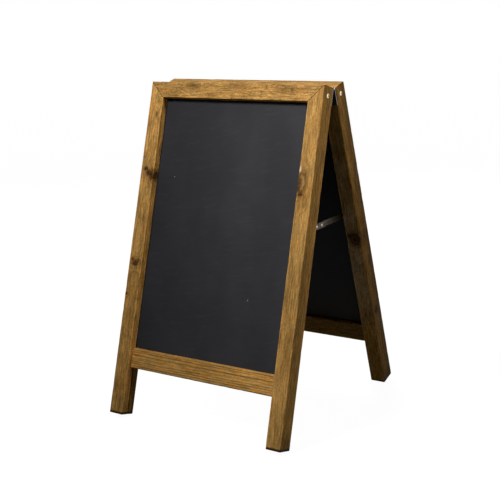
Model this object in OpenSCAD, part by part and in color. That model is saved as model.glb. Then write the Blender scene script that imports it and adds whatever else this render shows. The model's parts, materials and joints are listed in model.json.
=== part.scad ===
// Folding sandwich board: two timber frames with chalkboard panels, joined at the top by two
// butt hinges and held apart by two folding steel stays.
// X runs across the board, Y from the front panel to the rear panel, Z up from the ground.
// The origin is on the ground, midway between the four feet.

/* [Frames] */
// Width of each frame
board_w = 450; // [400:10:600]
// Length of a stile, measured along the frame
stile_len = 755; // [700:5:1000]
// Face width of a stile
stile_w = 36; // [32:1:50]
// Face height of the top rail
top_rail_h = 36; // [32:1:50]
// Thickness of the stiles and the top rail
timber_t = 40; // [38:1:50]
// Rounding of the long edges
edge_r = 2; // [1:0.5:3]

/* [Bottom rail] */
// Distance from the top of the frame to the rail's upper edge
rail_drop = 605; // [550:5:620]
// Face height of the bottom rail
rail_h = 45; // [35:1:60]
// Thickness of the bottom rail
rail_t = 22; // [16:1:30]

/* [Chalkboard] */
// Thickness of the panel
panel_t = 4; // [3:0.5:6]
// Depth of the groove that holds the panel
groove_depth = 10; // [8:1:10]

/* [Stance] */
// Angle between the two frames when the board stands open
open_angle = 33.4; // [26:0.2:40]

/* [Hinges] */
// Distance from the pin's axis to each frame's inner face
hinge_gap = 3.2; // [3:0.1:4]
// Width of a hinge, along its pin
hinge_w = 34; // [28:1:35]
// Length of a leaf, down the frame
leaf_len = 38; // [34:1:45]
// Thickness of a leaf
leaf_t = 1.5; // [1:0.1:1.5]

/* [Stays] */
// Distance from the top of the frame to a stay's pivot
stay_drop = 312; // [280:1:360]
// Distance from a frame's inner face to a stay's pivot
stay_inset = 9; // [8:0.5:10]
// Width of a stay's strap
strap_w = 13; // [11:0.5:14]
// Thickness of a stay's strap
strap_t = 1.5; // [1.2:0.1:1.8]

/* [Hidden] */
$fn = 48;

wood = [0.62, 0.43, 0.22];
slate = [0.12, 0.12, 0.13];
zinc = [0.72, 0.73, 0.75];
yellow_zinc = [0.78, 0.66, 0.36];

cut = 1;            // how far a cutter runs past a surface
joint_gap = 0.06;   // from a glued joint's middle to the timber on each side
slack = 0.1;        // room on each side of a piece in its groove
end_slack = 0.5;    // room at the bottom of a groove
running = 0.06;     // radial clearance round a pin or a screw
dome_step = 15;     // turn between the rings of a domed head
half_angle = open_angle / 2;
half_w = board_w / 2;
inner_x = half_w - stile_w;
hinge_z = stile_len * cos(half_angle) - hinge_gap * sin(half_angle);
panel_in = (timber_t - panel_t) / 2;
rail_in = (timber_t - rail_t) / 2;
reach = groove_depth - end_slack; // how far a panel or a tongue goes into its groove

head_rim = 0.2;                  // straight edge of a countersunk head
corner_screw_drop = 20;
corner_screw_len = 58;
corner_screw_r = 2.2;
corner_head_r = 4.4;
corner_head_sink = 0.3;
corner_screw_turn = 28;          // where the screw's cross recess stopped
// A cross recess, as shares of its head's radius
recess_span = 1.1;
recess_width = 0.22;
recess_depth = 0.45;

hinge_inset = 1;                 // from the outer side of the frame to the hinge
knuckle_clear = 0.4;             // between a knuckle and the frame
knuckle_r = hinge_gap - knuckle_clear;
pin_r = 1.5;
pin_head_r = 2.3;
pin_head_t = 0.8;
knuckle_gap = 0.3;
knuckle_w = (hinge_w - 2 * knuckle_gap) / 3;
hinge_screw_r = 1.6;
hinge_screw_len = 15;
hinge_head_r = 3.2;
hinge_screw_in = 6;              // from the leaf's ends to the two upper screws
hinge_screw_drop = 14;           // from the pin to the two upper screws
hinge_screw_up = 8;              // from the leaf's free edge to the lower screw
// A leaf's screws: distance in from its outer end, distance down from the pin, recess's turn
hinge_screws_at = [
    [hinge_screw_in, hinge_screw_drop, 24],
    [hinge_w - hinge_screw_in, hinge_screw_drop, 112],
    [hinge_w / 2, leaf_len - hinge_screw_up, 68]
];

link_len = (hinge_gap + stay_inset) * cos(half_angle) + stay_drop * sin(half_angle);
stay_z = hinge_z - stay_drop * cos(half_angle) + (hinge_gap + stay_inset) * sin(half_angle);
pivot_r = 2;
pivot_head_r = 4;
pivot_head_t = 2.2;
pivot_screw_turn = 20;
pivot_screw_depth = 14;          // how far a pivot screw goes into its stile
spacer_r = 4.5;
play = 0.2;                      // side play between stacked parts of a stay
plate_t = 1.2;
plate_h = strap_w + 1;
plate_back = 27;                 // from the knee to the plate's front end
plate_rivet_back = 21;
lug_from = 7.5;                  // the stop lug's two ends, measured past the knee
lug_to = 15;
lug_gap = 0.3;
rivet_r = 2;
rivet_head_r = 3.2;
rivet_head_t = 1.1;
rivet_clear = 0.5;               // between a rivet's head and the stile
// Places across the board: outer faces of the front link and the rear link
front_link_x = inner_x - plate_t - rivet_head_t - rivet_clear;
rear_link_x = front_link_x - strap_t - play;

// ---------------------------------------------------------------- placing

// Stands a frame's own space, with the hinge axis on X and the frame hanging below it, in the
// open position of the front frame.
module at_front() {
    translate([0, 0, hinge_z]) rotate([-half_angle, 0, 0]) children();
}

module at_rear() {
    mirror([0, 1, 0]) at_front() children();
}

// Turns a part drawn for the right-hand side (side = 1) into the left-hand one (side = -1).
module on_side(side) {
    mirror([side > 0 ? 0 : 1, 0, 0]) children();
}

// Puts a screw that points along -Z into a frame's side, with its head's flat side outwards
module at_corner_screw() {
    translate([half_w - corner_head_sink, -hinge_gap - timber_t / 2, -corner_screw_drop])
        rotate([0, 90, 0])
            children();
}

// Puts screws that point along -Z into one hinge leaf, flush with the leaf
module at_hinge_screws() {
    for (p = hinge_screws_at)
        translate([half_w - hinge_inset - p[0], -hinge_gap + leaf_t, -p[1]])
            rotate([-90, 0, 0])
                rotate(p[2])
                    children();
}

// A block in a frame's space: across from x0 to x1, in from the inner face from t0 to t1, and
// down from the top from d0 to d1.
module block(x0, x1, t0, t1, d0, d1) {
    translate([x0, -hinge_gap - t1, -d1]) cube([x1 - x0, t1 - t0, d1 - d0]);
}

// ---------------------------------------------------------------- timber

module rounded_section(w, t) {
    translate([edge_r, 0]) square([w - 2 * edge_r, t]);
    translate([0, edge_r]) square([w, t - 2 * edge_r]);
    for (x = [edge_r, w - edge_r], y = [edge_r, t - edge_r])
        translate([x, y]) circle(r = edge_r);
}

// A prism through the whole thickness, from points given as [across, down]
module mitre_wedge(points) {
    translate([0, -hinge_gap + cut, 0])
        rotate([90, 0, 0])
            linear_extrude(timber_t + 2 * cut)
                polygon([for (p = points) [p[0], -p[1]]]);
}

// The part of a stile that the top rail's mitre takes away
module stile_wedge() {
    slope = stile_w / top_rail_h;
    mitre_wedge([
        [half_w + joint_gap + cut * slope, -cut],
        [inner_x + joint_gap - cut * slope, top_rail_h + cut],
        [inner_x + joint_gap - cut * slope, -cut]
    ]);
}

// The part of the top rail that a stile's mitre takes away
module rail_wedge() {
    slope = stile_w / top_rail_h;
    mitre_wedge([
        [half_w - joint_gap + cut * slope, -cut],
        [half_w + cut * slope + cut, -cut],
        [half_w + cut * slope + cut, top_rail_h + cut],
        [inner_x - joint_gap - cut * slope, top_rail_h + cut]
    ]);
}

// The pilot hole for a stay's pivot screw
module stay_screw_hole() {
    translate([inner_x - cut, -hinge_gap - stay_inset, -stay_drop])
        rotate([0, 90, 0])
            cylinder(r = pivot_r + running, h = pivot_screw_depth + 2 * cut);
}

module stile(side) {
    color(wood) on_side(side) difference() {
        translate([inner_x, -hinge_gap - timber_t, -stile_len])
            linear_extrude(stile_len) rounded_section(stile_w, timber_t);
        stile_wedge();
        block(
            inner_x - cut, inner_x + groove_depth,
            panel_in - slack, panel_in + panel_t + slack,
            -cut, stile_len + cut
        );
        at_corner_screw() wood_screw_hole(corner_screw_r, corner_head_r, corner_screw_len);
        at_hinge_screws() wood_screw_hole(hinge_screw_r, hinge_head_r, hinge_screw_len);
        stay_screw_hole();
    }
}

module top_rail() {
    color(wood) difference() {
        translate([-half_w, -hinge_gap - timber_t, 0])
            rotate([0, 90, 0])
                linear_extrude(board_w) rounded_section(top_rail_h, timber_t);
        block(
            -half_w - cut, half_w + cut,
            panel_in - slack, panel_in + panel_t + slack,
            top_rail_h - groove_depth, top_rail_h + cut
        );
        for (side = [-1, 1]) on_side(side) {
            rail_wedge();
            at_corner_screw() wood_screw_hole(corner_screw_r, corner_head_r, corner_screw_len);
            at_hinge_screws() wood_screw_hole(hinge_screw_r, hinge_head_r, hinge_screw_len);
        }
    }
}

module bottom_rail() {
    span = 2 * inner_x - 2 * joint_gap;
    tongue = inner_x + reach;
    color(wood) difference() {
        union() {
            translate([-span / 2, -hinge_gap - rail_in - rail_t, -rail_drop])
                rotate([0, 90, 0])
                    linear_extrude(span) rounded_section(rail_h, rail_t);
            block(
                -tongue, tongue, panel_in, panel_in + panel_t,
                rail_drop + groove_depth, rail_drop + rail_h - edge_r
            );
        }
        block(
            -tongue - cut, tongue + cut,
            panel_in - slack, panel_in + panel_t + slack,
            rail_drop - cut, rail_drop + groove_depth
        );
    }
}

module chalkboard() {
    color(slate) block(
        -inner_x - reach, inner_x + reach, panel_in, panel_in + panel_t,
        top_rail_h - reach, rail_drop + reach
    );
}

// ---------------------------------------------------------------- screws and rivets

// Outline of a domed head, from its rim to its middle
function dome(r, h) = [for (a = [0:dome_step:90]) [r * cos(a), h * sin(a)]];

// A cross recess to cut into a screw's head, whose top is at the origin
module cross_recess(head_r) {
    span = head_r * recess_span;
    width = head_r * recess_width;
    depth = head_r * recess_depth;
    for (turn = [0, 90]) rotate(turn)
        translate([-span / 2, -width / 2, -depth])
            cube([span, width, depth + cut]);
}

// A countersunk wood screw: its head's flat side at the origin, its point along -Z
module wood_screw(r, head_r, length) {
    neck = head_r - r;
    tip = 2 * r;
    difference() {
        rotate_extrude() polygon([
            [0, 0], [head_r, 0], [head_r, -head_rim], [r, -neck - head_rim],
            [r, -length + tip], [0, -length]
        ]);
        cross_recess(head_r);
    }
}

// The hole that a countersunk wood screw fills, with running clearance all round
module wood_screw_hole(r, head_r, length) {
    neck = head_r - r;
    rotate_extrude() polygon([
        [0, cut], [head_r + running, cut], [head_r + running, -head_rim],
        [r + running, -neck - head_rim], [r + running, -length - cut], [0, -length - cut]
    ]);
}

// A round-headed screw: the underside of its head at the origin, its point along -Z
module pivot_screw(shank) {
    tip = 2 * pivot_r;
    difference() {
        rotate_extrude() polygon(concat(
            dome(pivot_head_r, pivot_head_t),
            [[0, -shank], [pivot_r, tip - shank], [pivot_r, 0]]
        ));
        translate([0, 0, pivot_head_t]) rotate(pivot_screw_turn) cross_recess(pivot_head_r);
    }
}

module corner_screws() {
    color(yellow_zinc) for (side = [-1, 1]) on_side(side)
        at_corner_screw() rotate(corner_screw_turn)
            wood_screw(corner_screw_r, corner_head_r, corner_screw_len);
}

module hinge_screws() {
    color(zinc) for (side = [-1, 1]) on_side(side)
        at_hinge_screws() wood_screw(hinge_screw_r, hinge_head_r, hinge_screw_len);
}

// ---------------------------------------------------------------- hinges

// Where knuckle number n starts, measured in from the hinge's outer end
function knuckle_from(n) = n * (knuckle_w + knuckle_gap);

module along_pin(n) {
    translate([half_w - hinge_inset - knuckle_from(n), 0, 0]) rotate([0, -90, 0]) children();
}

// A leaf in the front frame's space. It carries the knuckles listed in own, and is cut back
// round the other leaf's knuckles.
module leaf(own, others) {
    clear = knuckle_r + knuckle_gap;
    difference() {
        union() {
            translate([half_w - hinge_inset - hinge_w, -hinge_gap, -leaf_len])
                cube([hinge_w, leaf_t, leaf_len]);
            for (n = own) along_pin(n) cylinder(r = knuckle_r, h = knuckle_w);
        }
        for (n = own) along_pin(n) translate([0, 0, -cut])
            cylinder(r = pin_r + running, h = knuckle_w + 2 * cut);
        for (n = others) along_pin(n) translate([-clear, -clear, -knuckle_gap])
            cube([2 * clear, 2 * clear, knuckle_w + 2 * knuckle_gap]);
        at_hinge_screws() wood_screw_hole(hinge_screw_r, hinge_head_r, hinge_screw_len);
    }
}

module front_leaf(side) {
    color(zinc) on_side(side) leaf([0, 2], [1]);
}

module rear_leaf(side) {
    color(zinc) on_side(side) leaf([1], [0, 2]);
}

module hinge_pin(side) {
    color(zinc) on_side(side) along_pin(0) {
        translate([0, 0, -pin_head_t]) cylinder(r = pin_head_r, h = pin_head_t);
        translate([0, 0, -pin_head_t / 2]) cylinder(r = pin_r, h = hinge_w + pin_head_t);
        translate([0, 0, hinge_w]) cylinder(r = pin_head_r, h = pin_head_t);
    }
}

// ---------------------------------------------------------------- stays

// Stands children at a distance behind the knee, facing outwards along X with their Z, with the
// side of a strap whose outer face is at x0
module at_stay(x0, back) {
    translate([x0, -back, stay_z]) rotate([0, 90, 0]) children();
}

// A strap from one pivot to another, lying behind x0
module strap(x0, from, to, hole_from, hole_to) {
    difference() {
        union() {
            translate([x0 - strap_t, from, stay_z - strap_w / 2])
                cube([strap_t, to - from, strap_w]);
            for (y = [from, to])
                translate([x0 - strap_t, y, stay_z]) rotate([0, 90, 0])
                    cylinder(d = strap_w, h = strap_t);
        }
        translate([x0 - strap_t - cut, from, stay_z]) rotate([0, 90, 0])
            cylinder(r = hole_from + running, h = strap_t + 2 * cut);
        translate([x0 - strap_t - cut, to, stay_z]) rotate([0, 90, 0])
            cylinder(r = hole_to + running, h = strap_t + 2 * cut);
        children();
    }
}

module front_link(side) {
    color(zinc) on_side(side)
        strap(front_link_x, -link_len, 0, pivot_r, rivet_r)
            at_stay(front_link_x - strap_t - cut, plate_rivet_back)
                cylinder(r = rivet_r + running, h = strap_t + 2 * cut);
}

module rear_link(side) {
    color(zinc) on_side(side)
        strap(rear_link_x, 0, link_len, rivet_r, pivot_r);
}

// The plate that stiffens the knee. Its lug lies over the rear link and stops the knee from
// dropping through.
module knee_plate(side) {
    lug_z = stay_z + strap_w / 2 + lug_gap;
    lug_x = rear_link_x - strap_t - play;
    color(zinc) on_side(side) difference() {
        union() {
            translate([front_link_x, -plate_back + plate_h / 2, stay_z - plate_h / 2])
                cube([plate_t, plate_back - plate_h / 2 + lug_to, plate_h]);
            translate([front_link_x, -plate_back + plate_h / 2, stay_z]) rotate([0, 90, 0])
                cylinder(d = plate_h, h = plate_t);
            translate([front_link_x, lug_from, stay_z])
                cube([plate_t, lug_to - lug_from, lug_z - stay_z + plate_t]);
            translate([lug_x, lug_from, lug_z])
                cube([front_link_x + plate_t - lug_x, lug_to - lug_from, plate_t]);
        }
        for (back = [0, plate_rivet_back]) at_stay(front_link_x - cut, back)
            cylinder(r = rivet_r + running, h = plate_t + 2 * cut);
    }
}

// A domed head with its flat side at the origin
module rivet_head() {
    rotate_extrude() polygon(concat(dome(rivet_head_r, rivet_head_t), [[0, 0]]));
}

// A rivet through the knee plate and the front link, ending inside the link's inner face
module rivet() {
    shank = plate_t + strap_t - play / 2;
    translate([0, 0, plate_t]) rivet_head();
    translate([0, 0, plate_t - shank]) cylinder(r = rivet_r, h = shank + rivet_head_t / 2);
}

module knee_rivet(side) {
    color(zinc) on_side(side) at_stay(front_link_x, 0) rivet();
}

module plate_rivet(side) {
    color(zinc) on_side(side) at_stay(front_link_x, plate_rivet_back) rivet();
}

// The knee rivet's formed end, which fills the rear link's hole
module knee_rivet_tail(side) {
    color(zinc) on_side(side) at_stay(rear_link_x - strap_t, 0) {
        mirror([0, 0, 1]) rivet_head();
        translate([0, 0, -rivet_head_t / 2])
            cylinder(r = rivet_r, h = rivet_head_t / 2 + strap_t - play / 2);
    }
}

// A stay's pivot screw, in a frame's space; link_x is the outer face of its link
module stay_screw(side, link_x) {
    head_x = link_x - strap_t - play / 2;
    color(zinc) on_side(side)
        translate([head_x, -hinge_gap - stay_inset, -stay_drop])
            rotate([0, -90, 0]) pivot_screw(inner_x - head_x + pivot_screw_depth);
}

module stay_spacer(side, link_x) {
    length = inner_x - link_x - play / 2;
    color(zinc) on_side(side)
        translate([inner_x - length, -hinge_gap - stay_inset, -stay_drop])
            rotate([0, 90, 0]) difference() {
                cylinder(r = spacer_r, h = length);
                translate([0, 0, -cut]) cylinder(r = pivot_r + running, h = length + 2 * cut);
            }
}

at_front() stile(-1);  // front_left_stile
at_front() stile(1);  // front_right_stile
at_front() top_rail();  // front_top_rail
at_front() bottom_rail();  // front_bottom_rail
at_front() chalkboard();  // front_chalkboard
at_front() corner_screws();  // front_corner_screws
at_front() hinge_screws();  // front_hinge_screws
at_rear() stile(-1);  // rear_left_stile
at_rear() stile(1);  // rear_right_stile
at_rear() top_rail();  // rear_top_rail
at_rear() bottom_rail();  // rear_bottom_rail
at_rear() chalkboard();  // rear_chalkboard
at_rear() corner_screws();  // rear_corner_screws
at_rear() hinge_screws();  // rear_hinge_screws
at_front() front_leaf(-1);  // left_hinge_front_leaf
at_rear() rear_leaf(-1);  // left_hinge_rear_leaf
at_front() hinge_pin(-1);  // left_hinge_pin
at_front() front_leaf(1);  // right_hinge_front_leaf
at_rear() rear_leaf(1);  // right_hinge_rear_leaf
at_front() hinge_pin(1);  // right_hinge_pin
front_link(-1);  // left_stay_front_link
rear_link(-1);  // left_stay_rear_link
knee_plate(-1);  // left_stay_knee_plate
knee_rivet(-1);  // left_stay_knee_rivet
knee_rivet_tail(-1);  // left_stay_knee_rivet_tail
plate_rivet(-1);  // left_stay_plate_rivet
at_front() stay_screw(-1, front_link_x);  // left_stay_front_screw
at_rear() stay_screw(-1, rear_link_x);  // left_stay_rear_screw
at_front() stay_spacer(-1, front_link_x);  // left_stay_front_spacer
at_rear() stay_spacer(-1, rear_link_x);  // left_stay_rear_spacer
front_link(1);  // right_stay_front_link
rear_link(1);  // right_stay_rear_link
knee_plate(1);  // right_stay_knee_plate
knee_rivet(1);  // right_stay_knee_rivet
knee_rivet_tail(1);  // right_stay_knee_rivet_tail
plate_rivet(1);  // right_stay_plate_rivet
at_front() stay_screw(1, front_link_x);  // right_stay_front_screw
at_rear() stay_screw(1, rear_link_x);  // right_stay_rear_screw
at_front() stay_spacer(1, front_link_x);  // right_stay_front_spacer
at_rear() stay_spacer(1, rear_link_x);  // right_stay_rear_spacer
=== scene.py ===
"""The looks of the folding sandwich board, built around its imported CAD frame, in metres."""
import json
import math

import bpy
import numpy as np
from mathutils import Matrix, Vector

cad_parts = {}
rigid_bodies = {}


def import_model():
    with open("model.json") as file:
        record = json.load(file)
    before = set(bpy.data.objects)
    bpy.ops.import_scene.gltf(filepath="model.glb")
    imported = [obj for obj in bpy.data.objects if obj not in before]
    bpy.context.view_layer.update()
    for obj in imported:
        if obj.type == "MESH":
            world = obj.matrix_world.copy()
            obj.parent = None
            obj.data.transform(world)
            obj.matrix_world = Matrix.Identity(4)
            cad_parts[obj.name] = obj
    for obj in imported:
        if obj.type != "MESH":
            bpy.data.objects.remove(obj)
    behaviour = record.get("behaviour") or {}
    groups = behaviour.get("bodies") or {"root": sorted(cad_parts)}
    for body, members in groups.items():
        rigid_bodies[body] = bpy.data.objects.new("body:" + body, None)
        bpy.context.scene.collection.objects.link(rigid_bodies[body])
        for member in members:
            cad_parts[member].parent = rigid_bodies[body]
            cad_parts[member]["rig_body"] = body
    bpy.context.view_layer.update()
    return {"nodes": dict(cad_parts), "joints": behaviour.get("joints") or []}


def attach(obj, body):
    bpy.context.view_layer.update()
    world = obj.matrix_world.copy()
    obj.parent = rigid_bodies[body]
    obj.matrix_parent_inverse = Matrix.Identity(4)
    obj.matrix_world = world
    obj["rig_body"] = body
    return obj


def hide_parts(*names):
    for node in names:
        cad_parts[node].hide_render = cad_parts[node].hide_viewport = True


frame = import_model()

MM = 0.001

# ---------------------------------------------------------------- the two frames' own spaces

FOLD = next(j for j in frame["joints"] if j["name"] == "fold")
HALF_ANGLE = math.radians(max(FOLD["range_deg"])) / 2
# A frame's own space: X across, -Y out of its face, Z up along it, origin on the hinge axis
PLACE = {"front": Matrix.Translation(FOLD["pos_m"]) @ Matrix.Rotation(-HALF_ANGLE, 4, "X")}
PLACE["rear"] = Matrix.Rotation(math.pi, 4, "Z") @ PLACE["front"]


def own_box(node, side):
    """Lowest and highest corner of a CAD node in a frame's own space."""
    back = PLACE[side].inverted()
    points = np.array([back @ v.co for v in frame["nodes"][node].data.vertices])
    return Vector(points.min(0)), Vector(points.max(0))


# ---------------------------------------------------------------- material nodes

class Value:
    """A number that varies over a surface. Arithmetic on it makes math nodes."""

    def __init__(self, graph, socket):
        self.graph = graph
        self.socket = socket

    def __add__(self, other):
        return self.graph.math("ADD", self, other)

    def __sub__(self, other):
        return self.graph.math("SUBTRACT", self, other)

    def __rsub__(self, other):
        return self.graph.math("SUBTRACT", other, self)

    def __mul__(self, other):
        return self.graph.math("MULTIPLY", self, other)

    def __truediv__(self, other):
        return self.graph.math("DIVIDE", self, other)

    def __pow__(self, power):
        return self.graph.math("POWER", self, power)

    __radd__ = __add__
    __rmul__ = __mul__


class Graph:
    """Makes a material's nodes around its Principled shader. A value is a Value or a number."""

    def __init__(self, name):
        self.material = bpy.data.materials.new(name)
        self.material.use_nodes = True
        self.tree = self.material.node_tree
        self.shader = self.tree.nodes["Principled BSDF"]
        self.texture_place = None

    def put(self, socket, value):
        if isinstance(value, Value):
            self.tree.links.new(value.socket, socket)
        else:
            socket.default_value = value

    def add(self, kind, inputs, output, **settings):
        node = self.tree.nodes.new(kind)
        for key, value in settings.items():
            setattr(node, key, value)
        for key, value in inputs.items():
            self.put(node.inputs[key], value)
        return Value(self, node.outputs[output])

    def set(self, **inputs):
        """Sets the shader's inputs, with _ for a space in a name."""
        for key, value in inputs.items():
            self.put(self.shader.inputs[key.replace("_", " ")], value)

    def math(self, operation, *values):
        return self.add("ShaderNodeMath", dict(enumerate(values)), 0, operation=operation)

    def vector(self, x, y, z):
        return self.add("ShaderNodeCombineXYZ", {"X": x, "Y": y, "Z": z}, 0)

    def split(self, vector):
        parts = self.tree.nodes.new("ShaderNodeSeparateXYZ")
        self.put(parts.inputs[0], vector)
        return [Value(self, out) for out in parts.outputs]

    def coordinates(self, output):
        if self.texture_place is None:
            self.texture_place = self.tree.nodes.new("ShaderNodeTexCoord")
        return Value(self, self.texture_place.outputs[output])

    def position(self):
        """Place on the piece, in millimetres in the piece's own space."""
        return [v * (1 / MM) for v in self.split(self.coordinates("Object"))]

    def noise(self, x, y, z, detail=2.0, roughness=0.5, output="Fac"):
        """Noise around 0.5. A coordinate divided by n makes patches about n mm long that way."""
        inputs = {"Vector": self.vector(x, y, z), "Scale": 1.0, "Detail": detail, "Roughness": roughness}
        return self.add("ShaderNodeTexNoise", inputs, output)

    def step(self, value, start, end, low=0.0, high=1.0):
        """Smooth change from low at start to high at end, with start under end."""
        inputs = {"Value": value, 1: start, 2: end, 3: low, 4: high}
        return self.add("ShaderNodeMapRange", inputs, 0, interpolation_type="SMOOTHSTEP")

    def ramp(self, value, stops):
        """A curve through (place, height) stops, from place 0 to place 1."""
        node = self.tree.nodes.new("ShaderNodeValToRGB")
        points = node.color_ramp.elements
        for _ in stops[2:]:
            points.new(0.5)
        for point, (place, height) in zip(points, stops):
            point.position = place
            point.color = (height, height, height, 1)
        self.put(node.inputs[0], value)
        return Value(self, node.outputs[0])

    def blend(self, factor, first, second, mode="MIX"):
        node = self.tree.nodes.new("ShaderNodeMix")
        node.data_type = "RGBA"
        node.blend_type = mode
        self.put(node.inputs[0], factor)
        for socket, colour in ((node.inputs[6], first), (node.inputs[7], second)):
            self.put(socket, colour if isinstance(colour, Value) else (*colour, 1))
        return Value(self, node.outputs[2])

    def grey(self, value):
        """A colour with all three parts at value."""
        return self.add("ShaderNodeCombineColor", {0: value, 1: value, 2: value}, 0)

    def bump(self, height, depth):
        return self.add("ShaderNodeBump", {"Height": height, "Distance": depth, "Strength": 1.0}, 0)


# ---------------------------------------------------------------- wood

EARLY = (0.59, 0.332, 0.100)      # pale wood laid down in spring
LATE = (0.21, 0.098, 0.024)       # darker wood at the end of each ring
ORANGE = (0.60, 0.27, 0.052)      # warm stain
OLIVE = (0.36, 0.230, 0.068)      # cool stain
RUB_AND_HIGHLIGHT = (0.86, 0.72, 0.50)         # rubbed-off stain and painted highlight
FLECK = (0.11, 0.058, 0.019)      # dark pores
KNOT_RIM = (0.022, 0.011, 0.006)
KNOT_HEART = (0.080, 0.034, 0.016)
JOINT_AND_FOOT_DARK = (0.020, 0.013, 0.008)      # darkest brown, in the joints and at the feet

# How far each colour covers what is under it
RING_COVER = 0.62
OLIVE_COVER = 0.30
FLECK_COVER = 0.85
WHORL_COVER = 0.7
HEART_COVER = 0.85
RIM_COVER = 0.9
END_GRAIN_COVER = 0.62
FOOT_COVER = 0.93
ABOVE_FOOT_COVER = 0.45

# How far each pattern lightens and darkens the wood
FIBRE_SHADE = 1.3
STREAK_SHADE = 1.9
CLOUD_SHADE = 0.8
FLANK_SHADE = 1.1                 # more streaks on the faces that look along X

# Darkness through one ring, from its spring to its autumn
RING_STOPS = [(0, 0.45), (0.12, 0.0), (0.42, 0.08), (0.75, 0.55), (0.92, 1.0), (1, 0.45)]
EVEN = (0, 1, 1.0, 1.0)           # no change of tone
GRAIN_DEPTH = 0.18 * MM
WOOD_SPECULAR = 0.03


def knot_fields(g, x, y, z, knots):
    """Push on the rings, rim, heart and brown whorl of all knots together. A knot is ("x" or "y"
    for its axis, place across, place along, radius across, radius along, darkness, and its
    heart's darkness when that differs)."""
    push, rim, heart, whorl = 0.0, 0.0, 0.0, 0.0
    for axis, across, along, wide, tall, dark, *core in knots:
        core = core[0] if core else dark
        side = (y if axis == "x" else x) - across
        up = z - along
        bent = (g.noise(x / 5 + along, y / 5, z / 7, 3, 0.65) - 0.5) * min(2.0, 10 / wide)
        square = (side / wide) ** 2 + (up / tall) ** 2
        far = square ** 0.5 + bent      # in radii from the knot's middle
        near = g.math("EXPONENT", square * -0.14)
        push = near * (wide * 1.5) + push
        strokes = g.math("SINE", far * 6.0) * 0.5 + 0.5
        fade = g.step(far, 0.9, 3.2, 0.6 + 0.4 * dark, 0)
        whorl = g.math("MAXIMUM", fade * (strokes * 0.85 + 0.15), whorl)
        heart = g.math("MAXIMUM", g.step(far, 0.70, 1.15, 1, 0) * core, heart)
        edge = g.step(far, 0.55, 0.9) * g.step(far, 0.90, 1.25, 1, 0) * 0.7
        crack = g.step(far, 0.05, 0.45, core, 0)
        rim = g.math("MAXIMUM", g.math("MAXIMUM", edge * dark, crack), rim)
    return push, rim, heart, whorl


def growth_rings(g, x, y, z, shift, pith, ring_gap, wander, push):
    """How dark the ring around the pith is here, from 0 to 1. Some rings are weaker."""
    sway = g.split(g.noise(x / 70 + shift, y / 70, z / 230, 1, output="Color"))
    wiggle = (g.noise(x / 12 + shift, y / 12, z / 38, 2) - 0.5) * (0.11 * wander)
    ripple = (g.noise(x / 3.0, y / 3.0 + shift, z / 16, 3, 0.6) - 0.5) * 1.5
    from_pith_x = x - pith[0] + (sway[0] - 0.5) * wander
    from_pith_y = y - pith[1] + (sway[1] - 0.5) * wander
    radius = (from_pith_x ** 2 + from_pith_y ** 2) ** 0.5 + wiggle + ripple + push
    uneven = (g.noise(radius / 14 + shift, 0.0, 0.0, 1) - 0.5) * 1.6
    ring = g.math("FRACT", radius / ring_gap + uneven)
    strength = g.step(g.noise(radius / 8 + shift, 3.0, z / 300, 2), 0.3, 0.7, 0.3, 1.0)
    return g.ramp(ring, RING_STOPS) * strength


def rubbed_and_lit_edges(g, x, y, size, streak, wear_and_edge_light):
    """Tone of the long edges, in streaks: paler from rubbing and a painted highlight, darker with painted
    shade where the amount is below 0.
    """
    edge_x = size[0] / 2 - g.math("ABSOLUTE", x)
    edge_y = size[1] / 2 - g.math("ABSOLUTE", y)
    arris = g.step(g.math("MAXIMUM", edge_x, edge_y), 1.0, 4.0, 1, 0)
    return arris * g.step(streak, 0.33, 0.6) * wear_and_edge_light + 1


def stained(g, hue, late, fleck, figure, warm, mottle):
    """Colour of the stained wood, with its rings, warmer and cooler parts and dark flecks."""
    colour = g.blend(late * (RING_COVER * figure), EARLY, LATE)
    colour = g.blend(g.step(hue, 0.48, 0.68) * warm, colour, ORANGE)
    colour = g.blend(g.step(hue, 0.32, 0.5, 1, 0) * OLIVE_COVER, colour, OLIVE)
    return g.blend(fleck * mottle * FLECK_COVER, colour, FLECK)


def knotted(g, colour, whorl, heart, rim):
    """Knots over the wood: a brown whorl, a dark heart and a darker rim."""
    colour = g.blend(whorl * WHORL_COVER, colour, LATE)
    colour = g.blend(heart * HEART_COVER, colour, KNOT_HEART)
    return g.blend(rim * RIM_COVER, colour, KNOT_RIM)


def rubbed_and_highlight_spots(g, colour, x, y, z, pores, rub_and_highlight_places):
    """Ragged light spots on the outer half of the piece, where the wood is rubbed and has a painted
    highlight.
    """
    for across, along, wide, tall, strength in rub_and_highlight_places:
        far = ((x - across) / wide) ** 2 + ((z - along) / tall) ** 2 + (pores - 0.5) * 2.0
        colour = g.blend(g.step(far, 0.1, 1.3, strength, 0) * g.step(y, 0, 1, 1, 0), colour, RUB_AND_HIGHLIGHT)
    return colour


def darkened_foot(g, colour, x, y, z, foot, cloud, flank):
    """Darkens the end that stands on the ground, and more weakly the wood above it where flank is."""
    ragged = g.noise(x / 3, y / 3, z / 3, 3) * 2.0
    colour = g.blend(g.step(z - foot + ragged, 4.5, 8.0, FOOT_COVER, 0), colour, JOINT_AND_FOOT_DARK)
    above_foot = g.step(z - foot + (cloud - 0.5) * 60, 10, 48, ABOVE_FOOT_COVER, 0)
    return g.blend(above_foot * flank, colour, JOINT_AND_FOOT_DARK)


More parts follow.
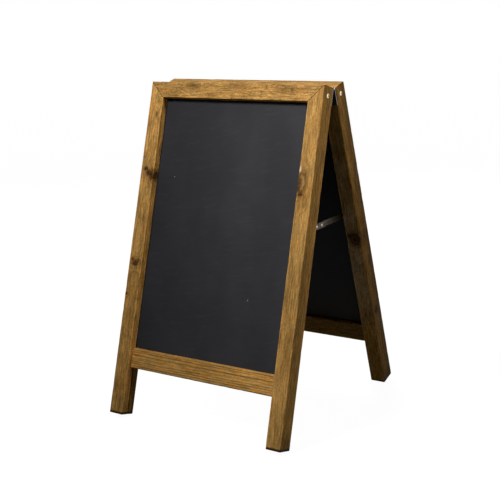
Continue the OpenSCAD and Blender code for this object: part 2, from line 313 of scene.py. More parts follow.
def wood(name, size, seed, pith=(6, 42), ring_gap=3.2, figure=1.0, wander=30, mottle=0.5, warm=0.3,
         tone=1.0, fade=EVEN, tilt=EVEN, deep=EVEN, painted_reveal_light=1.0, lines=0.0, wear_and_edge_light=0.36, seam=0.62,
         knots=(), rub_and_highlight_places=(), foot=None, joint=None):
    """Stained softwood, its grain along Z. Lengths are in millimetres on the piece.

    size is the section (across, through), pith the middle of the tree and ring_gap the distance
    between its rings, which sway by wander. figure is how clear the rings are, mottle how flecked
    the wood is, warm how orange and tone how bright; the lower tone of the rear pieces is partly
    painted shade. fade is (from, to, tone before, tone after) along the piece, tilt the same across
    it and deep through it; these gradients are partly the wood's own tone and partly painted light
    and shade. painted_reveal_light is painted light on the +X face in front of its middle, lines how
    much darker the late wood is, wear_and_edge_light how much paler the arrises are from wear and a
    painted highlight, with painted shade below 0, and seam how dark the edges at the joints. knots
    are as in knot_fields, and rub_and_highlight_places is light spots of rubbed wood with a painted
    highlight (across, along, radius across, radius along, strength). foot is the Z of a foot's end,
    where the wood is darkened. joint(x, z) is the way from a point to the nearest joint."""
    g = Graph(name)
    x, y, z = g.position()
    shift = seed * 13.7
    push, rim, heart, whorl = knot_fields(g, x, y, z, knots)
    late = growth_rings(g, x, y, z, shift, pith, ring_gap, wander, push)

    fibre = g.noise(x / 0.8, y / 0.8 + shift, z / 18, 4, 0.65)
    streak = g.noise(x / 2.8 + shift, y / 2.8, z / 42, 3, 0.6)
    speckle = g.noise(x / 3.0, y / 3.0 + shift, z / 5.5, 3, 0.75)
    cloud = g.noise(x / 30 + shift, y / 30, z / 70, 3, 0.55)
    hue = g.noise(x / 7, y / 7 + shift, z / 30, 2)
    cluster = g.step(g.noise(x / 11 + shift, y / 11, z / 20, 2), 0.40, 0.64)
    pores = g.noise(x / 1.9 + shift, y / 1.9, z / 7.0, 2, 0.6)
    fleck = g.step(pores, 0.50, 0.64) * (cluster * 0.75 + 0.25)
    looks_x, _, looks_z = g.split(g.coordinates("Normal"))
    flank = g.step(g.math("ABSOLUTE", looks_x), 0.5, 0.85)
    end_grain = g.step(g.math("ABSOLUTE", looks_z), 0.55, 0.85)

    colour = stained(g, hue, late, fleck, figure, warm, mottle)
    shade = (fibre - 0.5) * FIBRE_SHADE + (streak - 0.5) * STREAK_SHADE + (cloud - 0.5) * CLOUD_SHADE + 1.0
    shade = shade * ((speckle - 0.5) * (1.0 + mottle) + 1)
    # Tone gradients along, across and through the piece: partly the wood's own tone, partly painted light
    # and shade.
    shade = shade * g.step(z, *fade[:2], *(tone * f for f in fade[2:])) * g.step(x, *tilt) * g.step(y, *deep)
    # Arrises paler from wear and a painted highlight; a negative amount paints shade on them instead.
    shade = shade * rubbed_and_lit_edges(g, x, y, size, streak, wear_and_edge_light) * (1 - late * lines)
    # Painted light on the front half of the faces that look along +X.
    shade = shade * (g.step(looks_x, 0.3, 0.85) * g.step(y, -2, 0, painted_reveal_light - 1, 0) + 1)
    shade = shade * ((streak - 0.5) * flank * FLANK_SHADE + 1)
    colour = g.blend(1.0, colour, g.grey(shade), "MULTIPLY")

    if knots:
        colour = knotted(g, colour, whorl, heart, rim)
    colour = rubbed_and_highlight_spots(g, colour, x, y, z, pores, rub_and_highlight_places)
    colour = g.blend(end_grain * END_GRAIN_COVER, colour, LATE)
    if joint is not None:
        colour = g.blend(g.step(joint(x, z), 0.2, 0.7 + seam, seam, 0), colour, JOINT_AND_FOOT_DARK)
    if foot is not None:
        # Darker at the feet's ends, and on the faces that look along X just above them.
        colour = darkened_foot(g, colour, x, y, z, foot, cloud, flank * (2 - painted_reveal_light))
    g.set(Base_Color=colour, Roughness=0.52 + (fibre - 0.5) * 0.25 + fleck * 0.08 + end_grain * 0.2)
    height = late * 0.5 + fibre * 0.8 + speckle * 0.3 - rim * 1.5
    g.set(Normal=g.bump(height, GRAIN_DEPTH), Specular_IOR_Level=WOOD_SPECULAR)
    return g.material


# ---------------------------------------------------------------- other materials

OUTER_TINT = (0.96, 0.96, 1.08)       # paint on the faces that are written on
INNER_PAINTED_SHADE = (0.47, 0.42, 0.32)       # painted shade on the faces between the frames
PAINT_TONE = 0.0330
CHALK_CLOUD = 0.0115
CHALK_WIPE = 0.00805
CHALK_GRAIN = 0.0046
CHALK_FLYING = 0.05
CHALK_SPECK = 0.30
LIGHT_RAMP_REACH = 190                     # mm from the panel's middle to its sides
PAINT_SPECULAR = 0.08
PAINT_DEPTH = 0.05 * MM


def chalkboard_paint(name, seed, painted_light_ramp, specks=()):
    """Matt black paint with smeared chalk dust, under painted light that ramps between the two strengths in
    painted_light_ramp from side to side, with painted shade on the inner faces. A speck is (across, along,
    radius), in mm."""
    g = Graph(name)
    x, y, z = g.position()
    shift = seed * 9.1
    cloud = g.noise(x / 120 + shift, y / 40, z / 150, 3, 0.55)
    wipe = g.noise(x / 55 + z / 160 + shift, y, z / 9 - x / 40, 3, 0.6)
    grain = g.noise(x / 0.9, y / 0.9, z / 0.9 + shift, 2)
    dust = g.step(cloud, 0.35, 0.75) * CHALK_CLOUD + g.step(wipe, 0.5, 0.8) * CHALK_WIPE
    dust = dust + grain * CHALK_GRAIN
    flying = g.step(g.noise(x / 2.2 + shift, y, z / 2.2, 1), 0.80, 0.84) * CHALK_FLYING
    # Painted light: brightness ramps from one side of the panel to the other.
    light = (dust + flying + PAINT_TONE) * g.step(x, -LIGHT_RAMP_REACH, LIGHT_RAMP_REACH, *painted_light_ramp)
    for across, along, radius in specks:
        far = ((x - across) ** 2 + (z - along) ** 2) ** 0.5
        light = light + g.step(far, radius * 0.4, radius, CHALK_SPECK, 0)
    # Painted shade on the inner faces, between the frames.
    tint_and_inner_shade = g.blend(g.step(y, -0.5, 0.5), OUTER_TINT, INNER_PAINTED_SHADE)
    colour = g.blend(1.0, g.grey(light), tint_and_inner_shade, "MULTIPLY")
    g.set(Base_Color=colour, Roughness=0.62 + cloud * 0.2 + (grain - 0.5) * 0.1)
    g.set(Normal=g.bump(grain * 0.6 + cloud * 0.2, PAINT_DEPTH), Specular_IOR_Level=PAINT_SPECULAR)
    return g.material


# Grime and painted shade for the inside of screw recesses.
GRIME_AND_SHADE = (0.012, 0.010, 0.008)
GRIME_AND_SHADE_COVER = 0.92
PIT_COVER = 0.25
PLATING_DEPTH = 0.02 * MM


def plated_steel(name, bright, dull, roughness, seed, side=None, recess=None):
    """Zinc-plated steel, brightest at bright, with cloudy tarnish down to dull. side is the
    colour of the faces that look along X, a painted highlight. recess is (how far out along X a cross
    recess begins, its radius), in mm, and is darkened with grime and painted shade."""
    g = Graph(name)
    x, y, z = g.position()
    cloud = g.noise(x / 6 + seed, y / 6, z / 6, 3, 0.6)
    pit = g.step(g.noise(x / 0.8, y / 0.8 + seed, z / 0.8, 2), 0.58, 0.7)
    brushed = g.noise(x / 0.25, y / 5, z / 5 + seed, 2)
    colour = g.blend(g.step(cloud, 0.38, 0.68), bright, dull)
    colour = g.blend(pit * PIT_COVER, colour, tuple(c * 0.5 for c in dull))
    # Painted highlight on the faces that look along X.
    if side is not None:
        facing = g.math("ABSOLUTE", g.split(g.coordinates("Normal"))[0])
        colour = g.blend(g.step(facing, 0.6, 0.9), colour, side)
    if recess is not None:
        reach, radius = recess
        inside = g.step((y ** 2 + z ** 2) ** 0.5, radius - 0.2, radius + 0.2, 1, 0)
        below = g.step(g.math("ABSOLUTE", x), reach + 0.3, reach + 1.0, 1, 0)
        # Grime and painted shade darken the inside of the cross recess.
        colour = g.blend(inside * below * GRIME_AND_SHADE_COVER, colour, GRIME_AND_SHADE)
    g.set(Base_Color=colour, Metallic=1.0)
    g.set(Roughness=(cloud - 0.5) * 0.25 + (brushed - 0.5) * 0.15 + roughness)
    g.set(Normal=g.bump(brushed * 0.5 - pit, PLATING_DEPTH))
    return g.material


# ---------------------------------------------------------------- timber

ARRIS = 2.6 * MM          # rounding of the long edges
ARC_STEPS = 5
FACE_STEP = 5 * MM        # largest step between points across a face
RING_STEP = 4 * MM        # step between rings along a piece
MITRE_CHAMFER = 0.4 * MM
FOOT_CHAMFER = 0.7 * MM
JOINT_GAP = 0.08 * MM
GROOVE_SLACK = 0.1 * MM
GROOVE_END = 0.5 * MM     # room past the panel's edge
BOW = 0.10 * MM           # long waves over a piece
PLANING = 0.05 * MM       # short waves
WEAR = 0.9 * MM           # deepest wear of the arrises
SHARP_ANGLE = math.radians(32)


def straight(start, end):
    """Points after start, up to but not with end, at most FACE_STEP apart."""
    count = max(1, math.ceil((end - start).length / FACE_STEP))
    return [start.lerp(end, i / count) for i in range(1, count)]


def timber_outline(width, thickness, groove):
    """Outline of a piece across its grain, anticlockwise, with each point's outward normal and
    whether it is on an arris. groove is (side, middle, width, depth), a slot in the face that
    looks along +X when side is 1 and along -X when it is -1."""
    flat = Vector((width / 2 - ARRIS, thickness / 2 - ARRIS))
    corners = [(1, -1), (1, 1), (-1, 1), (-1, -1)]
    outline = []
    for i, (sx, sy) in enumerate(corners):
        start = math.atan2(sy, sx) - math.pi / 4
        for k in range(ARC_STEPS + 1):
            angle = start + k / ARC_STEPS * math.pi / 2
            normal = Vector((math.cos(angle), math.sin(angle)))
            outline.append((Vector((sx * flat.x, sy * flat.y)) + normal * ARRIS, normal, True))
        nx, ny = corners[(i + 1) % 4]
        begin = outline[-1][0]
        face = outline[-1][1]
        finish = Vector((nx * flat.x, ny * flat.y)) + face * ARRIS
        if round(face.x) == groove[0]:
            side, middle, wide, deep = groove
            up = 1 if finish.y > begin.y else -1
            lip_in = Vector((begin.x, middle - up * wide / 2))
            lip_out = Vector((begin.x, middle + up * wide / 2))
            inward = Vector((-side * deep, 0))
            outline += [(p, face, False) for p in straight(begin, lip_in)]
            outline += [(p, face, False) for p in (lip_in, lip_in + inward, lip_out + inward, lip_out)]
            outline += [(p, face, False) for p in straight(lip_out, finish)]
        else:
            outline += [(p, face, False) for p in straight(begin, finish)]
    return outline


def make_piece(name, vertices, faces):
    """A smooth object in the scene, with its sharp edges kept."""
    mesh = bpy.data.meshes.new(name)
    mesh.from_pydata(vertices, [], faces)
    mesh.validate()
    mesh.shade_smooth()
    mesh.set_sharp_from_angle(angle=SHARP_ANGLE)
    piece = bpy.data.objects.new(name, mesh)
    bpy.context.scene.collection.objects.link(piece)
    return piece


def waves(random, count, lengths):
    """A smooth seeded wave over space: a sum of sines with wavelengths between lengths."""
    spans = random.uniform(*lengths, (count, 3))
    turns = random.uniform(0, math.tau, count)
    signs = random.choice((-1, 1), (count, 3))

    def height(x, y, z):
        place = np.array([x, y, z])
        return float(np.sin((signs * math.tau / spans) @ place + turns).sum() / count)

    return height


def timber(name, width, thickness, low_end, high_end, groove, chamfers, seed):
    """A planed length of timber along Z, from low_end(x) to high_end(x), with eased long edges that are
    slightly rubbed down."""
    random = np.random.default_rng(seed)
    bow = waves(random, 4, (0.25, 0.9))
    plane = waves(random, 6, (0.015, 0.08))
    wear = waves(random, 7, (0.012, 0.09))
    outline = timber_outline(width, thickness, groove)
    longest = max(high_end(s * width / 2) - low_end(s * width / 2) for s in (-1, 1))
    count = math.ceil(longest / RING_STEP)
    vertices = []

    def ring(share, inset, along):
        for point, normal, on_arris in outline:
            x, y = point - normal * inset
            z = low_end(x) + (high_end(x) - low_end(x)) * share + along
            proud = bow(x, y, z) * BOW + plane(x * 0.3, y * 0.3, z) * PLANING
            if on_arris:
                proud -= max(0.0, wear(x, y, z) - 0.15) * WEAR
            vertices.append((x + normal.x * proud, y + normal.y * proud, z))

    ring(0, chamfers[0], 0)
    ring(0, 0, chamfers[0])
    for i in range(1, count):
        ring(i / count, 0, 0)
    ring(1, 0, -chamfers[1])
    ring(1, chamfers[1], 0)
    m = len(outline)
    rings = len(vertices) // m
    faces = [tuple(reversed(range(m))), tuple(range((rings - 1) * m, rings * m))]
    for r in range(rings - 1):
        for i in range(m):
            j = (i + 1) % m
            faces.append((r * m + i, r * m + j, (r + 1) * m + j, (r + 1) * m + i))
    return make_piece(name, vertices, faces)


def turned(name, profile, steps=32):
    """A solid of revolution about Z from (radius, height) points, first and last on the axis."""
    vertices = [(0, 0, profile[0][1])]
    for radius, height in profile[1:-1]:
        for i in range(steps):
            angle = math.tau * i / steps
            vertices.append((radius * math.cos(angle), radius * math.sin(angle), height))
    vertices.append((0, 0, profile[-1][1]))
    last = len(vertices) - 1
    faces = []
    for i in range(steps):
        j = (i + 1) % steps
        faces.append((0, 1 + j, 1 + i))
        faces.append((last, last - steps + i, last - steps + j))
        for r in range(len(profile) - 3):
            a = 1 + r * steps
            faces.append((a + i, a + j, a + steps + j, a + steps + i))
    return make_piece(name, vertices, faces)


def cut_out(target, tool):
    """Cuts tool out of target's mesh and removes tool."""
    cut = target.modifiers.new("Cut", "BOOLEAN")
    cut.object = tool
    cut.operation = "DIFFERENCE"
    cut.solver = "EXACT"
    bpy.context.view_layer.update()
    shown = target.evaluated_get(bpy.context.evaluated_depsgraph_get())
    mesh = bpy.data.meshes.new_from_object(shown)
    target.modifiers.remove(cut)
    target.data = mesh
    bpy.data.objects.remove(tool)


def stand_for(piece, matrix, node, material):
    """Puts a finished piece in place on its CAD node's body."""
    piece.matrix_world = matrix
    piece.data.materials.clear()
    piece.data.materials.append(material)
    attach(piece, frame["nodes"][node]["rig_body"])
    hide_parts(node)


SCREW_DROP = 20 * MM      # corner screws, below the frame's top
SCREW_HEAD_R = 5.1 * MM   # of the hole for the head
SCREW_NECK_R = 2.3 * MM
SCREW_SINK = 0.3 * MM     # of the head's rim, under the wood's face
# A screw's hole, as (radius, height over the rim): its floor, neck and countersink
HOLE_PROFILE = [(0, -8 * MM), (SCREW_NECK_R, -8 * MM), (SCREW_NECK_R, -2.6 * MM),
                (SCREW_HEAD_R, -0.2 * MM), (SCREW_HEAD_R, 1 * MM), (0, 1 * MM)]


def at_corner(hand, reach):
    """Where a corner screw stands on the side hand: its Z outwards, its rim at reach."""
    return Matrix.Translation((hand * reach, 0, 0)) @ Matrix.Rotation(hand * math.pi / 2, 4, "Y")


def panel_slot(side, face, middle, reach):
    """The groove, as timber_outline() takes it, for a chalkboard that goes by reach into the +X
    or -X face of the piece around middle."""
    low, high = own_box(f"{side}_chalkboard", side)
    return face, (low.y + high.y) / 2 - middle.y, high.y - low.y + 2 * GROOVE_SLACK, reach + GROOVE_END


def build_stile(side, hand, look):
    """hand is +1 or -1, the stile's side in its frame's own space."""
    world_hand = hand if side == "front" else -hand
    node = f"{side}_{'right' if world_hand > 0 else 'left'}_stile"
    low, high = own_box(node, side)
    rail_low, rail_high = own_box(f"{side}_top_rail", side)
    panel_high = own_box(f"{side}_chalkboard", side)[1]
    middle = (low + high) / 2
    width, thickness = high.x - low.x, high.y - low.y
    slope = (rail_high.z - rail_low.z) / width
    inner = min(abs(low.x), abs(high.x))
    bottom = low.z - high.z

    def top(x):
        return -(width / 2 - hand * x) * slope - JOINT_GAP

    def joint(x, z):
        return (x * (hand * slope) - width / 2 / MM * slope) - z

    piece = timber(f"{node}_timber", width, thickness, lambda x: bottom, top,
                   panel_slot(side, -hand, middle, panel_high.x - inner),
                   (FOOT_CHAMFER, MITRE_CHAMFER), look["seed"])
    cutter = turned("cutter", HOLE_PROFILE)
    cutter.matrix_world = Matrix.Translation((0, 0, -SCREW_DROP)) @ at_corner(hand, width / 2 - SCREW_SINK)
    cut_out(piece, cutter)
    piece.data.set_sharp_from_angle(angle=SHARP_ANGLE)
    material = wood(f"{node}_wood", (width / MM, thickness / MM), foot=bottom / MM, joint=joint, **look)
    place = PLACE[side] @ Matrix.Translation((middle.x, middle.y, high.z))
    stand_for(piece, place, node, material)


def rail_place(side, middle):
    """Where a rail stands, with its X down, its Y inwards and its Z along the frame's own X."""
    return PLACE[side] @ Matrix.Translation(middle) @ Matrix.Rotation(math.pi / 2, 4, "Y")


def build_top_rail(side, look):
    """The rail between the stiles' mitres."""
    node = f"{side}_top_rail"
    low, high = own_box(node, side)
    stile_low, stile_high = own_box(f"{side}_left_stile", side)
    panel_high = own_box(f"{side}_chalkboard", side)[1]
    middle = (low + high) / 2
    height, thickness = high.z - low.z, high.y - low.y
    slope = (stile_high.x - stile_low.x) / height

    def end(x):
        return high.x - (x + height / 2) * slope - JOINT_GAP

    def joint(x, z):
        return high.x / MM - (x + height / 2 / MM) * slope - (z ** 2) ** 0.5

    piece = timber(f"{node}_timber", height, thickness, lambda x: -end(x), end,
                   panel_slot(side, 1, middle, panel_high.z - low.z),
                   (MITRE_CHAMFER, MITRE_CHAMFER), look["seed"])
    material = wood(f"{node}_wood", (height / MM, thickness / MM), joint=joint, **look)
    stand_for(piece, rail_place(side, middle), node, material)


def build_bottom_rail(side, look):
    """The rail whose square ends stand against the stiles."""
    node = f"{side}_bottom_rail"
    low, high = own_box(node, side)
    stile_low, stile_high = own_box(f"{side}_left_stile", side)
    panel_low = own_box(f"{side}_chalkboard", side)[0]
    middle = (low + high) / 2
    height, thickness = high.z - low.z, high.y - low.y
    end = min(abs(stile_low.x), abs(stile_high.x)) - JOINT_GAP

    def joint(x, z):
        return end / MM - (z ** 2) ** 0.5

    piece = timber(f"{node}_timber", height, thickness, lambda x: -end, lambda x: end,
                   panel_slot(side, -1, middle, high.z - panel_low.z),
                   (MITRE_CHAMFER, MITRE_CHAMFER), look["seed"])
    material = wood(f"{node}_wood", (height / MM, thickness / MM), joint=joint, **look)
    stand_for(piece, rail_place(side, middle), node, material)


PANEL_STEP = 12 * MM
PANEL_WARP = 0.5 * MM


def build_chalkboard(side, seed, **look):
    """A panel with a slight warp, held flat at its edges by the grooves."""
    node = f"{side}_chalkboard"
    low, high = own_box(node, side)
    middle = (low + high) / 2
    half = (high - low) / 2
    warp = waves(np.random.default_rng(seed), 5, (0.25, 0.7))
    nx, nz = math.ceil(2 * half.x / PANEL_STEP), math.ceil(2 * half.z / PANEL_STEP)
    vertices = []
    for face in (-1, 1):
        for k in range(nz + 1):
            for i in range(nx + 1):
                u, v = 2 * i / nx - 1, 2 * k / nz - 1
                x, z = u * half.x, v * half.z
                free = (1 - u ** 4) * (1 - v ** 4)
                vertices.append((x, face * half.y + warp(x, 0, z) * PANEL_WARP * free, z))
    row, layer = nx + 1, (nx + 1) * (nz + 1)
    faces = []
    for k in range(nz):
        for i in range(nx):
            a = k * row + i
            faces.append((a, a + 1, a + row + 1, a + row))
            faces.append((layer + a, layer + a + row, layer + a + row + 1, layer + a + 1))
    rim = list(range(row)) + [k * row + nx for k in range(1, nz + 1)]
    rim += [nz * row + i for i in reversed(range(nx))] + [k * row for k in reversed(range(1, nz))]
    for a, b in zip(rim, rim[1:] + rim[:1]):
        faces.append((b, a, layer + a, layer + b))
    piece = make_piece(f"{node}_panel", vertices, faces)
    paint = chalkboard_paint(f"{node}_paint", seed, **look)
    stand_for(piece, PLACE[side] @ Matrix.Translation(middle), node, paint)


# How each piece of timber looks. Knots are in millimetres on the piece: across from its middle,
# and up from a stile's top or along from a rail's middle.
# fade, tilt and deep, and the rear pieces' lower tone, are partly painted light and shade.
STILE_LOOKS = {
    ("front", -1): dict(
        # The front half of this stile's inner face gets painted light.
        seed=3, pith=(-3, 4), ring_gap=3.8, mottle=0.4, figure=1.25, warm=0.6, tone=1.03, wear_and_edge_light=0.12,
        seam=0.95, tilt=(-18, 18, 1.08, 0.90), painted_reveal_light=1.55, fade=(-210, -90, 1.0, 1.18),
        knots=(("y", -4, -201, 5.5, 4.5, 1.0), ("y", 5, -210, 7, 6.5, 1.0), ("y", 14, -214, 5, 11, 1.0),
               ("y", 0, -416, 6.5, 6, 1.0), ("y", -8, -408, 3, 5, 0.8), ("y", 8, -410, 3, 4.5, 0.7),
               ("y", -14, -487, 2.6, 3.0, 1.0), ("y", 6, -75, 2.6, 5, 0.6), ("y", 7, -311, 2, 3, 0.5),
               ("y", 8, -45, 2, 4, 0.4))),
    ("front", 1): dict(
        seed=5, pith=(10, 24), ring_gap=6.0, mottle=0.2, warm=0.35, tone=0.87,
        fade=(-720, -480, 1.26, 1.0), deep=(2, 18, 1.0, 1.35),
        # Light spots at the inner arris: rubbed wood with a painted highlight.
        rub_and_highlight_places=((-15.5, -178, 3.5, 8, 0.75), (-5, -206, 2.5, 12, 0.16)),
        knots=(("y", -9, -206, 10, 21, 1.0, 0.15), ("y", -15, -211, 4.5, 15, 1.0, 0.75),
               ("y", -8, -231, 6, 3.5, 1.0), ("y", 3, -244, 4, 9, 0.3, 0.0))),
    ("rear", -1): dict(
        seed=8, pith=(-12, -35), mottle=0.35, warm=0.95, tone=0.75, wear_and_edge_light=0.1,
        fade=(-640, -400, 1.3, 1.0), deep=(-20, 14, 0.72, 1.22),
        knots=(("y", -4, -364, 13, 16, 1.0), ("y", 9, -357, 5, 7, 1.0), ("x", 3, -559, 7, 9, 1.0))),
    ("rear", 1): dict(
        seed=12, pith=(4, -48), mottle=0.5, warm=0.3, tone=0.85,
        knots=(("y", -5, -150, 7, 9, 0.9), ("y", 6, -520, 5, 7, 0.8))),
}
TOP_RAIL_LOOKS = {
    "front": dict(
        seed=21, pith=(2, 60), mottle=0.8, warm=0.35, tone=0.95, ring_gap=2.6, figure=1.2, wear_and_edge_light=0.2,
        tilt=(-14, 16, 0.96, 1.08),
        knots=(("y", -5, 149, 4, 4, 0.45), ("y", -10, -108, 7, 14, 0.35), ("y", -12, 5, 5, 18, 0.25),
               ("y", -8, 119, 6, 12, 0.25))),
    "rear": dict(seed=24, pith=(-8, 44), mottle=0.6, warm=0.25, tone=0.9),
}
BOTTOM_RAIL_LOOKS = {
    "front": dict(
        seed=31, pith=(120, 30), mottle=0.2, warm=0.95, tone=1.14, ring_gap=5.6, figure=1.6, wander=6,
        # Painted shade darkens this rail's arrises.
        lines=0.55, wear_and_edge_light=-0.35, fade=(40, 150, 1.1, 1.3)),
    "rear": dict(seed=36, pith=(90, 20), mottle=0.5, warm=0.0, tone=0.62, ring_gap=5.0, wander=9),
}
CHALKBOARD_LOOKS = {
    "front": dict(seed=2, painted_light_ramp=(0.90, 1.18), specks=((-141, 108, 1.4), (92, -142, 1.8))),
    "rear": dict(seed=7, painted_light_ramp=(1.0, 1.0), specks=((40, 90, 1.6),)),
}

for side in ("front", "rear"):
    for hand in (-1, 1):
        build_stile(side, hand, STILE_LOOKS[side, hand])
    build_top_rail(side, TOP_RAIL_LOOKS[side])
    build_bottom_rail(side, BOTTOM_RAIL_LOOKS[side])
    build_chalkboard(side, **CHALKBOARD_LOOKS[side])

# ---------------------------------------------------------------- metal

# Hinge leaves: nearly black faces as painted shade, and a painted highlight on their edges, stronger on the
# rear leaf.
SHADED_LEAF_FACE = dict(bright=(0.045, 0.045, 0.043), dull=(0.03, 0.03, 0.028), roughness=0.40)
RIVET_ZINC = plated_steel("rivet_zinc", bright=(0.62, 0.60, 0.50), dull=(0.36, 0.34, 0.28),
                          roughness=0.28, seed=1.0)
# The stay's strap is darkened as painted shade between the frames.
SHADED_STRAP_ZINC = plated_steel("strap_zinc", bright=(0.105, 0.086, 0.066), dull=(0.046, 0.037, 0.029),
                          roughness=0.42, seed=3.0)
LEAF_ZINC = {
    "front": plated_steel("front_leaf_zinc", **SHADED_LEAF_FACE, seed=4.0, side=(0.16, 0.16, 0.155)),
    "rear": plated_steel("rear_leaf_zinc", **SHADED_LEAF_FACE, seed=6.0, side=(0.33, 0.33, 0.32)),
}
PIN_ZINC = plated_steel("pin_zinc", bright=(0.75, 0.75, 0.74), dull=(0.42, 0.42, 0.40),
                        roughness=0.28, seed=5.0)
METAL_WELD = 0.001 * MM
METAL_EDGE = 0.15 * MM
METAL_EDGE_ANGLE = math.radians(40)


def finish_metal(node, material):
    """Gives a CAD node softened edges and a material."""
    piece = frame["nodes"][node]
    weld = piece.modifiers.new("Weld", "WELD")
    weld.merge_threshold = METAL_WELD
    soft = piece.modifiers.new("Soft edges", "BEVEL")
    soft.width = METAL_EDGE
    soft.segments = 2
    soft.limit_method = "ANGLE"
    soft.angle_limit = METAL_EDGE_ANGLE
    piece.data.materials.clear()
    piece.data.materials.append(material)


SCREW_PLAY = 0.1 * MM     # around the head in its hole
SCREW_RISE = 1.7 * MM     # of the head's dome
SCREW_RIM = 0.3 * MM      # upright edge of the head
SCREW_SHANK_R = 2.2 * MM
SCREW_LENGTH = 58 * MM
SCREW_TURN = 28           # degrees that a cross is turned, the other way on the left
DOME_RINGS = 8
RECESS_SPAN = 6.6 * MM    # of the cross, over two arms
RECESS_DEPTH = 2.0 * MM
RECESS_TAPER = 0.45       # share of an arm's length that is left at its bottom
RECESS_SHADE_MARGIN = 0.1 * MM   # reach of the grime and painted shade, past the ends of the arms
ARM_WIDTH = 1.9 * MM
ARM_TOP = 2 * MM          # top of the cutter, above the dome


def screw_profile():
    """Half outline of a raised countersunk screw along Z, with the top of its rim at 0."""
    radius = SCREW_HEAD_R - SCREW_PLAY
    profile = [(0, -SCREW_LENGTH), (SCREW_SHANK_R, -SCREW_LENGTH + 2 * SCREW_SHANK_R),
               (SCREW_SHANK_R, -(radius - SCREW_SHANK_R) - SCREW_RIM), (radius, -SCREW_RIM), (radius, 0)]
    ball = (radius ** 2 + SCREW_RISE ** 2) / (2 * SCREW_RISE)
    for i in range(1, DOME_RINGS):
        r = radius * (1 - i / DOME_RINGS)
        profile.append((r, math.sqrt(ball ** 2 - r ** 2) - ball + SCREW_RISE))
    profile.append((0, SCREW_RISE))
    return profile


def cross_arm():
    """Cutter for one arm of a cross recess, narrower at its bottom."""
    vertices = []
    for height, share in ((ARM_TOP, 1.0), (-RECESS_DEPTH, RECESS_TAPER)):
        for sx, sy in ((-1, -1), (1, -1), (1, 1), (-1, 1)):
            vertices.append((sx * RECESS_SPAN / 2 * share, sy * ARM_WIDTH / 2 * share ** 0.5, height))
    faces = [(0, 1, 2, 3), (7, 6, 5, 4)] + [(i, i + 4, (i + 1) % 4 + 4, (i + 1) % 4) for i in range(4)]
    return make_piece("arm", vertices, faces)


def build_corner_screws(side):
    """The two raised countersunk screws through a frame's top corners."""
    node = f"{side}_corner_screws"
    low, high = own_box(node, side)
    rail_high = own_box(f"{side}_top_rail", side)[1]
    reach = rail_high.x - SCREW_SINK
    vertices, faces = [], []
    for hand in (-1, 1):
        screw = turned("screw", screw_profile(), 40)
        for turn in (0, 90):
            arm = cross_arm()
            arm.matrix_world = Matrix.Rotation(math.radians(turn + SCREW_TURN * hand), 4, "Z")
            cut_out(screw, arm)
        place = at_corner(hand, reach)
        start = len(vertices)
        vertices += [place @ v.co for v in screw.data.vertices]
        faces += [tuple(start + i for i in f.vertices) for f in screw.data.polygons]
        bpy.data.objects.remove(screw)
    piece = make_piece(f"{node}_pair", vertices, faces)
    zinc = plated_steel(f"{side}_screw_zinc", bright=(1.0, 0.94, 0.70), dull=(0.82, 0.66, 0.36),
                        roughness=0.20, seed=2.0,
                        recess=(reach / MM, (RECESS_SPAN / 2 + RECESS_SHADE_MARGIN) / MM))
    middle = Vector((0, (low.y + high.y) / 2, rail_high.z - SCREW_DROP))
    stand_for(piece, PLACE[side] @ Matrix.Translation(middle), node, zinc)


for side in ("front", "rear"):
    build_corner_screws(side)

for node in frame["nodes"]:
    if node.endswith("hinge_pin"):
        finish_metal(node, PIN_ZINC)
    elif "hinge" in node:
        finish_metal(node, LEAF_ZINC["rear" if "rear" in node else "front"])
    elif "rivet" in node:
        finish_metal(node, RIVET_ZINC)
    elif "stay" in node:
        finish_metal(node, SHADED_STRAP_ZINC)

# ---------------------------------------------------------------- camera

CAMERA_AZIMUTH = math.radians(33.47)
CAMERA_ELEVATION = math.radians(10.97)
CAMERA_ROLL = math.radians(-2.02)
CAMERA_DISTANCE = 2.38
CAMERA_TARGET = Vector((0.0033, 0, 0.4678))
FOCAL_LENGTH = 76.13
SENSOR_WIDTH = 36
CAMERA_SHIFT = -0.1


def make_camera():
    """The camera looks at its target from CAMERA_AZIMUTH to the right of the front."""
    data = bpy.data.cameras.new("camera")
    camera = bpy.data.objects.new("camera", data)
    bpy.context.scene.collection.objects.link(camera)
    level = math.cos(CAMERA_ELEVATION)
    back = Vector((math.sin(CAMERA_AZIMUTH) * level, -math.cos(CAMERA_AZIMUTH) * level,
                   math.sin(CAMERA_ELEVATION)))
    right = (-back).cross(Vector((0, 0, 1))).normalized()
    up = right.cross(-back)
    turn = Matrix((right, up, back)).transposed().to_4x4() @ Matrix.Rotation(CAMERA_ROLL, 4, "Z")
    camera.matrix_world = Matrix.Translation(CAMERA_TARGET + back * CAMERA_DISTANCE) @ turn
    data.lens = FOCAL_LENGTH
    data.sensor_width = SENSOR_WIDTH
    data.shift_y = CAMERA_SHIFT
    bpy.context.scene.camera = camera


make_camera()

# ---------------------------------------------------------------- light, floor and backdrop


def area_light(name, place, target, size, power, colour=(1, 1, 1), spread=180, in_gloss=True):
    """A round light at place, of size metres and power watts, shining at target through spread
    degrees."""
    data = bpy.data.lights.new(name, "AREA")
    data.shape = "DISK"
    data.size = size
    data.energy = power
    data.color = colour
    data.spread = math.radians(spread)
    light = bpy.data.objects.new(name, data)
    light.visible_glossy = in_gloss
    bpy.context.scene.collection.objects.link(light)
    light.location = place
    light.rotation_mode = "QUATERNION"
    light.rotation_quaternion = (Vector(target) - Vector(place)).to_track_quat("-Z", "Y")


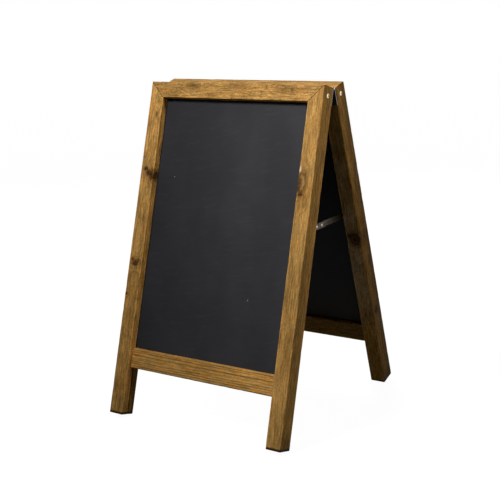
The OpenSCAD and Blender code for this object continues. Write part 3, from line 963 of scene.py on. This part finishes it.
# The key light stands in front of the board, the side fill to its right and the floor's bounce
# under it. The last two lift the back and the left side.
FILL_TARGET = (0, 0, 0.4)
area_light("key", place=(-0.30, -1.08, 1.56), target=(0.90, 0, 0.90), size=0.40, power=13.4,
           colour=(1.0, 0.99, 0.98), spread=122)
area_light("side_fill", place=(1.25, -0.13, 1.16), target=(0.2, -0.50, 0.66), size=0.20, power=1.16,
           colour=(1.0, 0.92, 0.78), spread=76)
area_light("floor_bounce", place=(0, -0.12, 0.04), target=(0.20, 0.16, 0.56), size=0.16, power=0.023,
           colour=(0.74, 1.18, 2.9), spread=84, in_gloss=False)
area_light("back_fill", place=(-1.1, 1.9, 1.7), target=FILL_TARGET, size=1.0, power=30, in_gloss=False)
area_light("left_fill", place=(-1.6, 0.15, 1.0), target=FILL_TARGET, size=0.6, power=7, in_gloss=False)

FLOOR_REACH = 40.0                    # metres from its middle to its sides
FLOOR_COLOUR = (0.10, 0.10, 0.10, 1)
FLOOR_GLOW = 0.965


def make_floor():
    """A glowing white floor that only the camera sees, with the object's faint shadow."""
    mesh = bpy.data.meshes.new("floor")
    corners = [(x * FLOOR_REACH, y * FLOOR_REACH, 0) for x, y in ((-1, -1), (1, -1), (1, 1), (-1, 1))]
    mesh.from_pydata(corners, [], [(0, 1, 2, 3)])
    floor = bpy.data.objects.new("floor", mesh)
    bpy.context.scene.collection.objects.link(floor)
    material = bpy.data.materials.new("pale_floor")
    material.use_nodes = True
    shader = material.node_tree.nodes["Principled BSDF"]
    shader.inputs["Base Color"].default_value = FLOOR_COLOUR
    shader.inputs["Roughness"].default_value = 0.9
    shader.inputs["Specular IOR Level"].default_value = 0.1
    shader.inputs["Emission Color"].default_value = (1, 1, 1, 1)
    shader.inputs["Emission Strength"].default_value = FLOOR_GLOW
    mesh.materials.append(material)
    floor.visible_diffuse = False
    floor.visible_glossy = False


make_floor()

WORLD_SEEN = 1.00          # behind the object
WORLD_REFLECTED = 0.90     # in gloss
WORLD_LIGHT = 0.036        # as a light
WORLD_TINT = (0.96, 1.00, 1.04)


def make_world():
    """Pale behind the object, softer in reflections and a dim cool light on everything else."""
    world = bpy.data.worlds.new("studio")
    bpy.context.scene.world = world
    world.use_nodes = True
    tree = world.node_tree
    seen = tree.nodes["Background"]
    seen.inputs["Color"].default_value = (1, 1, 1, 1)
    path = tree.nodes.new("ShaderNodeLightPath")
    level = tree.nodes.new("ShaderNodeMapRange")
    tree.links.new(path.outputs["Is Camera Ray"], level.inputs[0])
    level.inputs[3].default_value = WORLD_REFLECTED
    level.inputs[4].default_value = WORLD_SEEN
    tree.links.new(level.outputs[0], seen.inputs["Strength"])
    light = tree.nodes.new("ShaderNodeBackground")
    light.inputs["Color"].default_value = (*WORLD_TINT, 1)
    light.inputs["Strength"].default_value = WORLD_LIGHT
    mix = tree.nodes.new("ShaderNodeMixShader")
    tree.links.new(path.outputs["Is Diffuse Ray"], mix.inputs[0])
    tree.links.new(seen.outputs[0], mix.inputs[1])
    tree.links.new(light.outputs[0], mix.inputs[2])
    tree.links.new(mix.outputs[0], tree.nodes["World Output"].inputs["Surface"])


make_world()

BLACK_POINT = 0.0015
view = bpy.context.scene.view_settings
view.view_transform = "Standard"
view.look = "None"
view.use_curve_mapping = True
view.curve_mapping.black_level = (BLACK_POINT,) * 3
